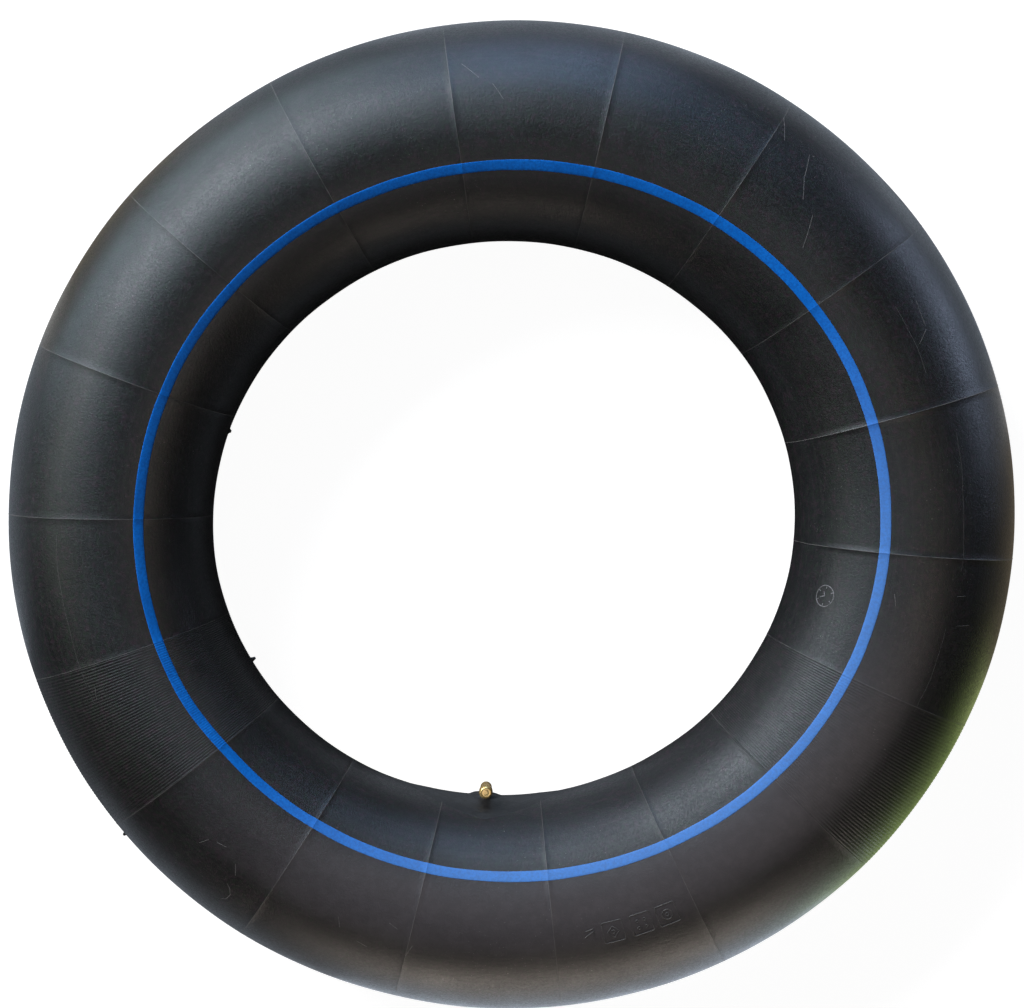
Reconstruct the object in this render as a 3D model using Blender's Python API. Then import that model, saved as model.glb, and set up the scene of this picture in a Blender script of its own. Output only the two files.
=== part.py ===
"""Inner tube of a light-truck wheel, lying flat, with its bent brass valve on the -Y side.

The origin is the middle of the ring, +Z points up through the hole, and all sizes are in metres.
A hollow rubber ring carries a coloured stripe and a moulded base pad. The pad holds the foot of a
brass stem that bends up along the ring's inner side. The stem holds a sprung valve core, and a
knurled cap with a rubber gasket is screwed over its tip.
"""

import math

import bmesh
import bpy
from mathutils import Vector

GAP = 0.0003

# The ring: slightly oval, with a section that is fatter on one side.
RING_OUTER = 0.3486
RING_INNER = 0.1993
OVAL_OUTER = 0.0031
OVAL_INNER = 0.0047
OVAL_TURN = math.radians(15.0)
HOLE_SHIFT = 0.0055
FAT_SIDE_TURN = math.radians(27.0)
HALF_HEIGHT = 0.0735
WALL = 0.0022

# How finely the ring and its section are stepped, with closer steps under the valve's pad.
RING_STEPS = 60
SECTION_STEPS = 24
RING_SPLIT = 2
SECTION_SPLIT = 3
FINE_TURN = math.radians(20.0)
FINE_AROUND = math.radians(33.0)

# The stripe runs just inside the crown, wanders along the ring and has one kink.
STRIPE_WIDTH = 0.0076
STRIPE_THICKNESS = 0.0006
STRIPE_AROUND = math.radians(110.0)
STRIPE_DRIFT = math.radians(3.5)
STRIPE_DRIFT_TURN = math.radians(22.0)
STRIPE_SWAY = math.radians(1.3)
STRIPE_KINK = math.radians(1.5)
STRIPE_KINK_TURN = math.radians(-141.5)
STRIPE_KINK_LENGTH = math.radians(5.7)
STRIPE_KINK_FADE = math.radians(28.0)
STRIPE_ZONE = (math.radians(100.0), math.radians(125.0))

# The valve's place: its foot axis points at the ring's middle, and its tip axis is parallel to +Z.
VALVE_TURN = math.radians(-90.0)
VALVE_HOLE_RADIUS = 0.0026
STEM_STANDOFF = 0.0076
TIP_LEVEL = 0.0330

# The stem: a foot plate, a short elbow and a straight leg with a chambered tip.
STEM_RADIUS = 0.0040
THREAD_RADIUS = 0.0038
THREAD_LENGTH = 0.0125
STEM_CHAMFER = 0.0005
STEM_BORE = 0.0017
ELBOW_RADIUS = 0.0053
ELBOW_STEPS = 8
FOOT_STANDOFF = 0.0005
FOOT_RADIUS = 0.0070
FOOT_THICKNESS = 0.0012

# The base pad: a wide feathered lozenge with rounded sides and a boss over the stem's foot. It's
# longest along the ring, and PAD_SHARPNESS is 2 for an oval and 1 for straight sides.
PAD_HALF_LENGTH = 0.0600
PAD_HALF_WIDTH = 0.0390
PAD_SHARPNESS = 1.2
PAD_SIDES = 48
PAD_STEPS = 7
PAD_EDGE = 0.0004
PAD_SLOPE = 0.03
PAD_BORE = 0.0046
PAD_BOSS_TOP = 0.0029
PAD_BOSS_RADIUS = 0.0076
PAD_BOSS_FOOT = 0.0110

# The core's bores inside the stem's tip, and the core's own pieces, all by depth below the tip.
CHAMBER_RADIUS = 0.0028
CHAMBER_DEPTH = 0.0070
SEAT_RADIUS = 0.0023
SEAT_DEPTH = 0.0098
LOWER_DEPTH = 0.0215
PIN_RADIUS = 0.00055
PIN_HEAD_RADIUS = 0.00075
PIN_HEAD_LENGTH = 0.0005
PIN_FOOT_RADIUS = 0.00085
PIN_TOP = 0.0003
PIN_END = 0.0184
PIN_FIT = 0.00005
PLUG_RADIUS = 0.0025
PLUG_TOP = 0.0009
PLUG_END = 0.0060
PLUG_HOLLOW_RADIUS = 0.0015
PLUG_HOLLOW_DEPTH = 0.0024
PLUG_GUIDE_RADIUS = 0.00095
PLUG_BRIDGE_HALF = 0.0010
PLUG_SLOT_DEPTH = 0.0027
BARREL_RADIUS = 0.00165
BARREL_BORE = 0.00125
BARREL_COLLAR = 0.0007
BARREL_LIP = 0.0005
BARREL_END = 0.0155
SEAL_TOP = 0.0073
SEAL_END = 0.0091
SEAL_TOP_RADIUS = 0.00235
SEAL_END_RADIUS = 0.0021
COLLAR_RADIUS = 0.0010
COLLAR_TOP = 0.0080
COLLAR_END = 0.0085
CUP_RADIUS = 0.0020
CUP_WALL = 0.0002
CUP_FLOOR = 0.0006
CUP_TOP = 0.0159
CUP_END = 0.0175
CUP_SEAL_THICKNESS = 0.0008

# The spring between the pin's collar and the barrel's lip.
SPRING_RADIUS = 0.00082
SPRING_WIRE = 0.00012
SPRING_TOP = 0.00865
SPRING_END = 0.01485
SPRING_TURNS = 7
SPRING_STEPS = 8

# The cap, screwed over the thread.
CAP_RADIUS = 0.00475
CAP_BORE = 0.0041
CAP_END = 0.0085
CAP_TOP = -0.0022
CAP_CEILING = -0.0014
CAP_BEVEL = 0.0004
CAP_FLUTES = 18
FLUTE_DEPTH = 0.0002
GASKET_RADIUS = 0.0037
GASKET_THICKNESS = 0.0008

ROUND = 20
SMALL_ROUND = 16
SHARP_ANGLE = math.radians(35.0)


# Shape of the ring's skin


def ring_radii(turn):
    """Outer and inner radius of the ring at an angle about +Z."""
    oval = math.cos(2 * (turn - OVAL_TURN))
    outer = RING_OUTER + OVAL_OUTER * oval
    inner = RING_INNER + OVAL_INNER * oval - HOLE_SHIFT * math.cos(turn - FAT_SIDE_TURN)
    return outer, inner


def skin_point(turn, around, height=0.0):
    """Point on the skin or above it; section angle 0 faces outwards and 180 degrees the hole."""
    outer, inner = ring_radii(turn)
    half_width = (outer - inner) / 2 + height
    radius = (outer + inner) / 2 + half_width * math.cos(around)
    level = (HALF_HEIGHT + height) * math.sin(around)
    return Vector((radius * math.cos(turn), radius * math.sin(turn), level))


def stepped_angles(steps, split, fine_middle, fine_half):
    """Angles around a full circle, split more finely on each side of fine_middle."""
    pitch = math.tau / steps
    angles = []
    for step in range(steps):
        start = fine_middle - math.pi + (step + 0.5) * pitch
        distance = abs(start + pitch / 2 - fine_middle)
        parts = split if distance < fine_half else 1
        angles += [start + pitch * part / parts for part in range(parts)]
    return angles


def stripe_around(turn):
    """Section angle of the stripe's middle line."""
    drift = STRIPE_DRIFT * math.cos(turn - STRIPE_DRIFT_TURN)
    sway = STRIPE_SWAY * math.cos(2 * turn)
    past_kink = math.remainder(turn - STRIPE_KINK_TURN, math.tau)
    fade = math.exp(-abs(past_kink) / STRIPE_KINK_FADE)
    kink = STRIPE_KINK * math.tanh(past_kink / STRIPE_KINK_LENGTH) * fade
    return STRIPE_AROUND - drift - sway + kink


def band(turn, half_width, top, bottom):
    """Four section corners of a band along the stripe: up one side, over and down the other."""
    middle = stripe_around(turn)
    half_angle = half_width / HALF_HEIGHT
    low = middle - half_angle
    high = middle + half_angle
    corners = ((low, top), (low, bottom), (high, bottom), (high, top))
    return [skin_point(turn, around, height) for around, height in corners]


def body_ring(turn, angles):
    """Outer section of the body, with the stripe's groove let into it."""
    start, end = STRIPE_ZONE
    groove = band(turn, STRIPE_WIDTH / 2 + GAP, 0.0, -STRIPE_THICKNESS - GAP)
    before = [skin_point(turn, angle) for angle in angles if angle < start]
    after = [skin_point(turn, angle) for angle in angles if angle > end]
    return before + groove + after


# Mesh and object helpers


def circle(radius, level=0.0, sides=ROUND, flute=0.0):
    """Level ring of points about the local Z axis; every second point is drawn in by flute."""
    points = []
    for side in range(sides):
        turn = math.tau * side / sides
        reach = radius - flute * (side % 2)
        points.append(Vector((reach * math.cos(turn), reach * math.sin(turn), level)))
    return points


def join_rings(builder, rings, closed):
    """Faces between neighbouring rings; an open run of rings gets an end face at each end."""
    rows = [[builder.verts.new(point) for point in ring] for ring in rings]
    pairs = list(zip(rows, rows[1:]))
    faces = []
    if closed:
        pairs.append((rows[-1], rows[0]))
    else:
        faces += [builder.faces.new(rows[0]), builder.faces.new(rows[-1])]
    for row, next_row in pairs:
        for index in range(len(row)):
            after = (index + 1) % len(row)
            corners = (row[index], row[after], next_row[after], next_row[index])
            faces.append(builder.faces.new(corners))
    bmesh.ops.recalc_face_normals(builder, faces=faces)
    return faces


def finish(name, builder, paint, parent=None):
    """Object made from a mesh builder, smooth except at its sharp edges."""
    mesh = bpy.data.meshes.new(name)
    builder.to_mesh(mesh)
    builder.free()
    mesh.shade_smooth()
    mesh.set_sharp_from_angle(angle=SHARP_ANGLE)
    mesh.materials.append(paint)
    thing = bpy.data.objects.new(name, mesh)
    thing.parent = parent
    bpy.context.scene.collection.objects.link(thing)
    return thing


def loft(name, rings, paint, closed=True, parent=None):
    """Solid through a run of rings."""
    builder = bmesh.new()
    join_rings(builder, rings, closed)
    return finish(name, builder, paint, parent)


def turned(name, profile, paint, parent, closed=True, sides=SMALL_ROUND):
    """Solid of revolution from (radius, depth below the tip) pairs, on the tip's axis."""
    rings = [circle(radius, -depth, sides) for radius, depth in profile]
    return loft(name, rings, paint, closed, parent)


def material(name, colour, roughness, metallic=0.0):
    """Principled material of one sub-part."""
    paint = bpy.data.materials.new(name)
    paint.use_nodes = True
    shader = paint.node_tree.nodes["Principled BSDF"]
    shader.inputs["Base Color"].default_value = (*colour, 1.0)
    shader.inputs["Roughness"].default_value = roughness
    shader.inputs["Metallic"].default_value = metallic
    return paint


def rubber(name, colour=(0.02, 0.021, 0.023), roughness=0.45):
    """Rubber, black unless a colour is given."""
    return material(name, colour, roughness)


def brass(name, roughness=0.3):
    """Bright brass."""
    return material(name, (0.80, 0.60, 0.25), roughness, metallic=1.0)


def cut(thing, cutter):
    """Hide a cutter and take it out of a solid."""
    cutter.hide_render = True
    cutter.display_type = "WIRE"
    hole = thing.modifiers.new(cutter.name, "BOOLEAN")
    hole.operation = "DIFFERENCE"
    hole.solver = "EXACT"
    hole.object = cutter


# Rubber parts


def valve_wall_y():
    """Where the skin crosses the valve's foot axis."""
    return skin_point(VALVE_TURN, math.pi).y


def valve_hole_cutter():
    """Round punch through the wall under the stem's foot."""
    reach = 3 * WALL
    builder = bmesh.new()
    rings = []
    for side in (-1, 1):
        middle = Vector((0.0, valve_wall_y() + side * reach, 0.0))
        ring = circle(VALVE_HOLE_RADIUS, sides=SMALL_ROUND)
        rings.append([middle + Vector((point.x, 0.0, point.y)) for point in ring])
    join_rings(builder, rings, closed=False)
    return finish("valve_hole_cutter", builder, rubber("cutter"))


def make_body():
    """Hollow ring: the outer skin, the inside of its wall and the hole under the valve."""
    turns = stepped_angles(RING_STEPS, RING_SPLIT, VALVE_TURN, FINE_TURN)
    angles = stepped_angles(SECTION_STEPS, SECTION_SPLIT, math.pi, FINE_AROUND)
    builder = bmesh.new()
    join_rings(builder, [body_ring(turn, angles) for turn in turns], closed=True)
    plain_turns = stepped_angles(RING_STEPS, 1, VALVE_TURN, FINE_TURN)
    plain_angles = stepped_angles(SECTION_STEPS, 1, math.pi, FINE_AROUND)
    inside = [[skin_point(turn, angle, -WALL) for angle in plain_angles] for turn in plain_turns]
    inside_faces = join_rings(builder, inside, closed=True)
    bmesh.ops.reverse_faces(builder, faces=inside_faces)
    body = finish("tube_body", builder, rubber("tube_body"))
    cut(body, valve_hole_cutter())


def make_stripe():
    """Coloured band, flush with the skin and clear of its groove."""
    turns = stepped_angles(RING_STEPS, RING_SPLIT, VALVE_TURN, FINE_TURN)
    rings = [band(turn, STRIPE_WIDTH / 2, 0.0, -STRIPE_THICKNESS) for turn in turns]
    paint = rubber("colour_stripe", (0.02, 0.12, 0.45), 0.5)
    loft("colour_stripe", rings, paint)


def pad_ring(reaches, heights, flat=False):
    """Ring of the pad about the foot's axis: over the skin, or level with the foot if flat."""
    wall_radius = -valve_wall_y()
    points = []
    for heading, reach, height in zip(circle(1.0, sides=PAD_SIDES), reaches, heights):
        along = heading.x * reach
        up = heading.y * reach
        if flat:
            points.append(Vector((along, height - wall_radius, up)))
        else:
            points.append(skin_point(VALVE_TURN + along / wall_radius, math.pi - up / HALF_HEIGHT, height))
    return points


def round_pad_ring(radius, height, flat=False):
    """Round ring of the pad, at one height."""
    return pad_ring([radius] * PAD_SIDES, [height] * PAD_SIDES, flat)


def pad_edge():
    """Reach of the pad's edge from the foot's axis, at each step of a ring's angle."""
    reaches = []
    for heading in circle(1.0, sides=PAD_SIDES):
        along = abs(heading.x / PAD_HALF_LENGTH) ** PAD_SHARPNESS
        up = abs(heading.y / PAD_HALF_WIDTH) ** PAD_SHARPNESS
        reaches.append((along + up) ** (-1.0 / PAD_SHARPNESS))
    return reaches


def pad_spread(share, start, lift):
    """Ring from a round start, where share is 0, to the pad's edge, where it's 1."""
    edges = pad_edge()
    reaches = [start + (edge - start) * share for edge in edges]
    heights = [lift * (PAD_EDGE + PAD_SLOPE * (edge - reach)) + GAP for edge, reach in zip(edges, reaches)]
    return pad_ring(reaches, heights)


def make_pad():
    """Feathered lozenge that follows the skin, with a pocket and a boss for the stem's foot."""
    pocket_radius = FOOT_RADIUS + GAP
    pocket_top = FOOT_STANDOFF + FOOT_THICKNESS + GAP
    shares = [step / PAD_STEPS for step in range(PAD_STEPS + 1)]
    under = [pad_spread(share, pocket_radius, 0) for share in shares]
    over = [pad_spread(share, PAD_BOSS_FOOT, 1) for share in reversed(shares)]
    boss = [
        round_pad_ring(PAD_BOSS_RADIUS, PAD_BOSS_TOP, flat=True),
        round_pad_ring(PAD_BORE, PAD_BOSS_TOP, flat=True),
        round_pad_ring(PAD_BORE, pocket_top, flat=True),
        round_pad_ring(pocket_radius, pocket_top, flat=True),
    ]
    loft("valve_base_pad", under + over + boss, rubber("valve_base_pad", roughness=0.5))


# Brass stem


def tip_y():
    """Where the tip's axis stands."""
    return valve_wall_y() + STEM_STANDOFF


def stem_ring(middle, heading, radius):
    """Ring of the stem about a point of its middle line, square to its heading."""
    side = heading.cross(Vector((1.0, 0.0, 0.0)))
    return [middle + Vector((point.x, 0.0, 0.0)) + side * point.y for point in circle(radius)]


def foot_ring(standoff, radius):
    """Ring of the stem's foot, which points from the skin at the ring's middle."""
    middle = Vector((0.0, valve_wall_y() + standoff, 0.0))
    return stem_ring(middle, Vector((0.0, 1.0, 0.0)), radius)


def leg_ring(level, radius):
    """Ring of the stem's straight leg."""
    return stem_ring(Vector((0.0, tip_y(), level)), Vector((0.0, 0.0, 1.0)), radius)


def elbow_rings(radius):
    """Rings around the bend between the foot and the leg."""
    centre = Vector((0.0, tip_y() - ELBOW_RADIUS, ELBOW_RADIUS))
    rings = []
    for step in range(ELBOW_STEPS + 1):
        bend = math.pi / 2 * step / ELBOW_STEPS
        outward = Vector((0.0, math.sin(bend), -math.cos(bend)))
        heading = Vector((0.0, math.cos(bend), math.sin(bend)))
        rings.append(stem_ring(centre + outward * ELBOW_RADIUS, heading, radius))
    return rings


def make_stem():
    """Bent stem: its outside from foot to tip, then its bore from tip to foot."""
    shoulder = TIP_LEVEL - THREAD_LENGTH
    foot_top = FOOT_STANDOFF + FOOT_THICKNESS
    outside = [foot_ring(FOOT_STANDOFF, FOOT_RADIUS), foot_ring(foot_top, FOOT_RADIUS)]
    outside += [foot_ring(foot_top, STEM_RADIUS)] + elbow_rings(STEM_RADIUS)
    outside += [
        leg_ring(shoulder, STEM_RADIUS),
        leg_ring(shoulder + STEM_CHAMFER, THREAD_RADIUS),
        leg_ring(TIP_LEVEL - STEM_CHAMFER, THREAD_RADIUS),
        leg_ring(TIP_LEVEL, THREAD_RADIUS - STEM_CHAMFER),
    ]
    bore = [
        leg_ring(TIP_LEVEL, CHAMBER_RADIUS),
        leg_ring(TIP_LEVEL - CHAMBER_DEPTH, CHAMBER_RADIUS),
        leg_ring(TIP_LEVEL - SEAT_DEPTH, SEAT_RADIUS),
        leg_ring(TIP_LEVEL - LOWER_DEPTH, SEAT_RADIUS),
        leg_ring(TIP_LEVEL - LOWER_DEPTH - 2 * STEM_CHAMFER, STEM_BORE),
    ]
    bore += elbow_rings(STEM_BORE)[::-1] + [foot_ring(FOOT_STANDOFF, STEM_BORE)]
    loft("valve_stem", outside + bore, brass("valve_stem"))


# Valve core


def plug_slot_cutter(axis):
    """Two blocks that leave only a bridge across the top of the plug."""
    builder = bmesh.new()
    reach = 2 * PLUG_RADIUS
    for side in (-1, 1):
        near = side * PLUG_BRIDGE_HALF
        far = side * reach
        corners = ((near, -reach), (far, -reach), (far, reach), (near, reach))
        rings = [[Vector((x, y, level)) for x, y in corners] for level in (-PLUG_SLOT_DEPTH, 0.0)]
        join_rings(builder, rings, closed=False)
    return finish("plug_slot_cutter", builder, brass("cutter"), axis)


def make_core_plug(axis):
    """Threaded plug with a bridge that the pin passes through."""
    profile = [
        (PLUG_RADIUS, PLUG_TOP),
        (PLUG_RADIUS, PLUG_END),
        (PLUG_HOLLOW_RADIUS, PLUG_END),
        (PLUG_HOLLOW_RADIUS, PLUG_HOLLOW_DEPTH),
        (PLUG_GUIDE_RADIUS, PLUG_HOLLOW_DEPTH),
        (PLUG_GUIDE_RADIUS, PLUG_TOP),
    ]
    plug = turned("core_plug", profile, brass("core_plug", 0.35), axis)
    cut(plug, plug_slot_cutter(axis))


def make_core_barrel(axis):
    """Barrel that hangs below the plug, with a collar on top and a lip under the spring."""
    top = PLUG_END + GAP
    collar_end = top + BARREL_COLLAR
    lip_top = BARREL_END - BARREL_LIP
    lip_radius = PIN_RADIUS + GAP
    profile = [
        (BARREL_RADIUS + GAP, top),
        (BARREL_RADIUS + GAP, collar_end),
        (BARREL_RADIUS, collar_end),
        (BARREL_RADIUS, BARREL_END),
        (lip_radius, BARREL_END),
        (lip_radius, lip_top),
        (BARREL_BORE, lip_top),
        (BARREL_BORE, top),
    ]
    turned("core_barrel", profile, brass("core_barrel", 0.35), axis)


def make_core_barrel_seal(axis):
    """Tapered ring around the barrel that seals against the seat in the stem."""
    bore = BARREL_RADIUS + GAP
    profile = [
        (SEAL_TOP_RADIUS, SEAL_TOP),
        (SEAL_END_RADIUS, SEAL_END),
        (bore, SEAL_END),
        (bore, SEAL_TOP),
    ]
    turned("core_barrel_seal", profile, rubber("core_barrel_seal", (0.45, 0.04, 0.03)), axis)


def make_core_pin(axis):
    """Pin that a pump or a fingertip presses, with a head at each end."""
    head_end = PIN_TOP + PIN_HEAD_LENGTH
    foot_top = CUP_END + GAP
    profile = [
        (PIN_HEAD_RADIUS, PIN_TOP),
        (PIN_HEAD_RADIUS, head_end),
        (PIN_RADIUS, head_end),
        (PIN_RADIUS, foot_top),
        (PIN_FOOT_RADIUS, foot_top),
        (PIN_FOOT_RADIUS, PIN_END),
    ]
    turned("core_pin", profile, brass("core_pin", 0.25), axis, closed=False)


def make_core_spring_seat(axis):
    """Collar on the pin that the spring pushes up."""
    bore = PIN_RADIUS + PIN_FIT
    profile = [
        (COLLAR_RADIUS, COLLAR_TOP),
        (COLLAR_RADIUS, COLLAR_END),
        (bore, COLLAR_END),
        (bore, COLLAR_TOP),
    ]
    turned("core_spring_seat", profile, brass("core_spring_seat", 0.35), axis)


def make_core_spring(axis):
    """Coil spring around the pin, inside the barrel."""
    steps = SPRING_TURNS * SPRING_STEPS
    rings = []
    for step in range(steps + 1):
        turn = math.tau * step / SPRING_STEPS
        travel = (SPRING_END - SPRING_TOP - 2 * SPRING_WIRE) * step / steps
        outward = Vector((math.cos(turn), math.sin(turn), 0.0))
        middle = outward * SPRING_RADIUS - Vector((0.0, 0.0, SPRING_TOP + SPRING_WIRE + travel))
        wire = circle(SPRING_WIRE, sides=6)
        rings.append([middle + outward * point.x + Vector((0, 0, point.y)) for point in wire])
    steel = material("core_spring", (0.6, 0.6, 0.62), 0.3, metallic=1.0)
    loft("core_spring", rings, steel, closed=False, parent=axis)


def make_core_cup(axis):
    """Cup on the pin's lower end, around its seal."""
    inner = CUP_RADIUS - CUP_WALL
    floor = CUP_END - CUP_FLOOR
    bore = PIN_RADIUS + PIN_FIT
    profile = [
        (CUP_RADIUS, CUP_TOP),
        (CUP_RADIUS, CUP_END),
        (bore, CUP_END),
        (bore, floor),
        (inner, floor),
        (inner, CUP_TOP),
    ]
    turned("core_cup", profile, brass("core_cup", 0.35), axis)


def make_core_cup_seal(axis):
    """Rubber ring in the cup that closes the barrel's lower end."""
    top = BARREL_END + GAP
    end = top + CUP_SEAL_THICKNESS
    bore = PIN_RADIUS + PIN_FIT
    outer = CUP_RADIUS - CUP_WALL - GAP
    profile = [(outer, top), (outer, end), (bore, end), (bore, top)]
    turned("core_cup_seal", profile, rubber("core_cup_seal"), axis)


# Cap


def make_cap_shell(axis):
    """Knurled cap: inside from the ceiling down, around the skirt and up over the dome."""
    sides = 2 * CAP_FLUTES
    bevel = CAP_BEVEL
    neck = CAP_RADIUS - FLUTE_DEPTH
    rings = [
        circle(CAP_BORE, -CAP_CEILING, sides),
        circle(CAP_BORE, -CAP_END, sides),
        circle(neck - bevel / 2, -CAP_END, sides),
        circle(CAP_RADIUS, bevel - CAP_END, sides, FLUTE_DEPTH),
        circle(CAP_RADIUS, -bevel, sides, FLUTE_DEPTH),
        circle(neck - bevel / 2, bevel / 2, sides),
        circle(neck - bevel / 2, -CAP_TOP - 2 * bevel, sides),
        circle(CAP_RADIUS - 2 * bevel, -CAP_TOP - bevel / 2, sides),
        circle(CAP_RADIUS - 4 * bevel, -CAP_TOP, sides),
    ]
    loft("cap_shell", rings, brass("cap_shell", 0.25), closed=False, parent=axis)


def make_cap_gasket(axis):
    """Rubber disc between the stem's end and the cap's ceiling."""
    end = -GAP
    top = end - GASKET_THICKNESS
    profile = [(GASKET_RADIUS, top), (GASKET_RADIUS, end)]
    paint = rubber("cap_gasket", roughness=0.6)
    turned("cap_gasket", profile, paint, axis, closed=False, sides=ROUND)


def make_tip_axis():
    """Empty on the tip's axis at the stem's end, which carries the core and the cap."""
    axis = bpy.data.objects.new("tip_axis", None)
    axis.location = (0.0, tip_y(), TIP_LEVEL)
    bpy.context.scene.collection.objects.link(axis)
    return axis


def build():
    """Empty the scene and build the inner tube."""
    for thing in list(bpy.data.objects):
        bpy.data.objects.remove(thing, do_unlink=True)
    make_body()
    make_stripe()
    make_pad()
    make_stem()
    axis = make_tip_axis()
    make_core_plug(axis)
    make_core_barrel(axis)
    make_core_barrel_seal(axis)
    make_core_pin(axis)
    make_core_spring_seat(axis)
    make_core_spring(axis)
    make_core_cup(axis)
    make_core_cup_seal(axis)
    make_cap_shell(axis)
    make_cap_gasket(axis)


build()
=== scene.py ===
"""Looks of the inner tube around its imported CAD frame: skin, marks, valve, materials and stage."""

import math

import bpy
import numpy as np
from mathutils import Matrix, Vector


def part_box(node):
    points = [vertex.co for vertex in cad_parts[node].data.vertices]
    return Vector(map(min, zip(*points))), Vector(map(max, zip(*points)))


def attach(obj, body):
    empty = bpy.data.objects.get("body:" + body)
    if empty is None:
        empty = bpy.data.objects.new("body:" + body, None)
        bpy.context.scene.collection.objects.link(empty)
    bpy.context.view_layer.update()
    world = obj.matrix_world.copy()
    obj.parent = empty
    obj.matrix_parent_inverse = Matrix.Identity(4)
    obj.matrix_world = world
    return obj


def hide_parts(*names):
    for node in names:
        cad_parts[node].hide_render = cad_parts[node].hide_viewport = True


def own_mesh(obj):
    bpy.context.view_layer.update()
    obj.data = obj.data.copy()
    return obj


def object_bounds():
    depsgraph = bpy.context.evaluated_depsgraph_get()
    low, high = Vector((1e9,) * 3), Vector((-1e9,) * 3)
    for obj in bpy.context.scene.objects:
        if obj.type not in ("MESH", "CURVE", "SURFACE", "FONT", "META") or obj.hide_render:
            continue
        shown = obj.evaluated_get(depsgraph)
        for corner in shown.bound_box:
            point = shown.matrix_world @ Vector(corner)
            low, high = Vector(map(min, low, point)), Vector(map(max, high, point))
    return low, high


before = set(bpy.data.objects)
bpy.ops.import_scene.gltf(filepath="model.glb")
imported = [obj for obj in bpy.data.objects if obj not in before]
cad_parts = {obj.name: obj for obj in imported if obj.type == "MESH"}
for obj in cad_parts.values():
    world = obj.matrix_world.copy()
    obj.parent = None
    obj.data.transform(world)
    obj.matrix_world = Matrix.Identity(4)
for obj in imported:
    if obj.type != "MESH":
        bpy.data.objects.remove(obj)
CAD_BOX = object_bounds()

# The ring's skin, as the CAD has it: angles are in degrees, lengths in metres.
RING_OUTER = 0.3486
RING_INNER = 0.1993
OVAL_OUTER = 0.0031
OVAL_INNER = 0.0047
OVAL_TURN = 15.0
HOLE_SHIFT = 0.0055
FAT_SIDE_TURN = 27.0
HALF_HEIGHT = 0.0735
WALL = 0.0022

# How finely the skin and the inside of its wall are stepped.
COLUMN_STEP = 1.0
ROW_COUNT = 114
WALL_COLUMNS = 120
WALL_ROWS = 32

# Mould lines: evenly spaced on the mould, and pulled unevenly as the ring swelled.
LINE_COUNT = 18
LINE_OFFSET = 2.41
LINE_PULL = 2.17
LINE_PULL_TURN = 15.6
LINE_SWAY = 0.61
LINE_SWAY_TURN = 49.1
LINE_HEIGHT = 0.00010
LINE_HALF_ANGLE = 0.08
LINE_CLEARANCE = 1.2 * LINE_HALF_ANGLE
STRONG_LINES = (0, 17)
STRONG_LINE = 2.0
LINE_WEAR = 0.6
PANEL_BULGE = 0.00003
PANEL_UNEVENNESS = 0.3
PANEL_PHASE = 2.4

# Ribbed panels, each by the mould line that it starts at and its number of ribs.
RIBBED_PANELS = ((1, 48), (7, 50))
STEPS_PER_RIB = 4
RIB_HEIGHT = 0.00012
RIB_WEAR = 0.06

# Soft unevenness of the skin: height, waves along the ring, waves around the section, phase.
WAVES = (
    (0.00016, 5, 2, 0.4),
    (0.00012, 9, -1, 2.1),
    (0.00008, 14, 3, 4.0),
    (0.00005, 27, -4, 1.2),
)

# The stripe: lengths in metres, angles in degrees.
STRIPE_WIDTH = 0.0074
STRIPE_RISE = 0.00022
STRIPE_DEPTH = 0.0004
STRIPE_AROUND = 110.0
STRIPE_DRIFT = 3.5
STRIPE_DRIFT_TURN = 22.0
STRIPE_SWAY = 1.3
STRIPE_KINK = 1.5
STRIPE_KINK_TURN = -141.5
STRIPE_KINK_LENGTH = 5.7
STRIPE_KINK_FADE = 28.0
STRIPE_EDGE_WAVER = 0.00022
STRIPE_SECTION = (
    # shares of the half width and the rise; the last two lie under the skin
    (-1, -0.2), (-0.97, 0.45), (-0.88, 0.85), (-0.5, 1), (0, 1), (0.5, 1),
    (0.88, 0.85), (0.97, 0.45), (1, -0.2), (1, 0), (-1, 0),
)

# Moulded marks: the row of square frames and the round stamp, by their place on the skin.
SQUARE_TURNS = (-70.65, -66.65, -62.95)
SQUARE_AROUND = 76.0
SQUARE_SIZE = (0.0143, 0.0150)
SQUARE_CORNER = 0.0012
LOZENGE_REACH = 0.0042
PIP_REACH = 0.0026
PIP_RADIUS = 0.0010
RING_RADIUS = 0.0036
DOT_RADIUS = 0.0012
ROUND_MARK_PLACE = (-8.05, 134.5)
ROUND_MARK_RADIUS = 0.0073
TICK_REACH = (0.0052, 0.0068)
HAND_TIPS = ((0.0030, 0.0016), (-0.0012, 0.0036))
RIDGE_WIDTH = 0.0008
RIDGE_HEIGHT = 0.0003
RIDGE_SECTION = (
    # shares of the half width and the height
    (-1.0, -0.4), (-0.8, 0.35), (-0.4, 0.9), (0.0, 1.0), (0.4, 0.9), (0.8, 0.35), (1.0, -0.4),
)

# Short strokes beside the first square: the start and end of each, about a place of their own.
STROKE_PLACE = (SQUARE_TURNS[0] - 3.3, SQUARE_AROUND + 2.0)
STROKES = (
    ((-0.0032, -0.0026), (0.0028, 0.0006)),
    ((-0.0022, 0.0016), (0.0030, 0.0026)),
    ((0.0030, -0.0030), (0.0036, 0.0010)),
)

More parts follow.
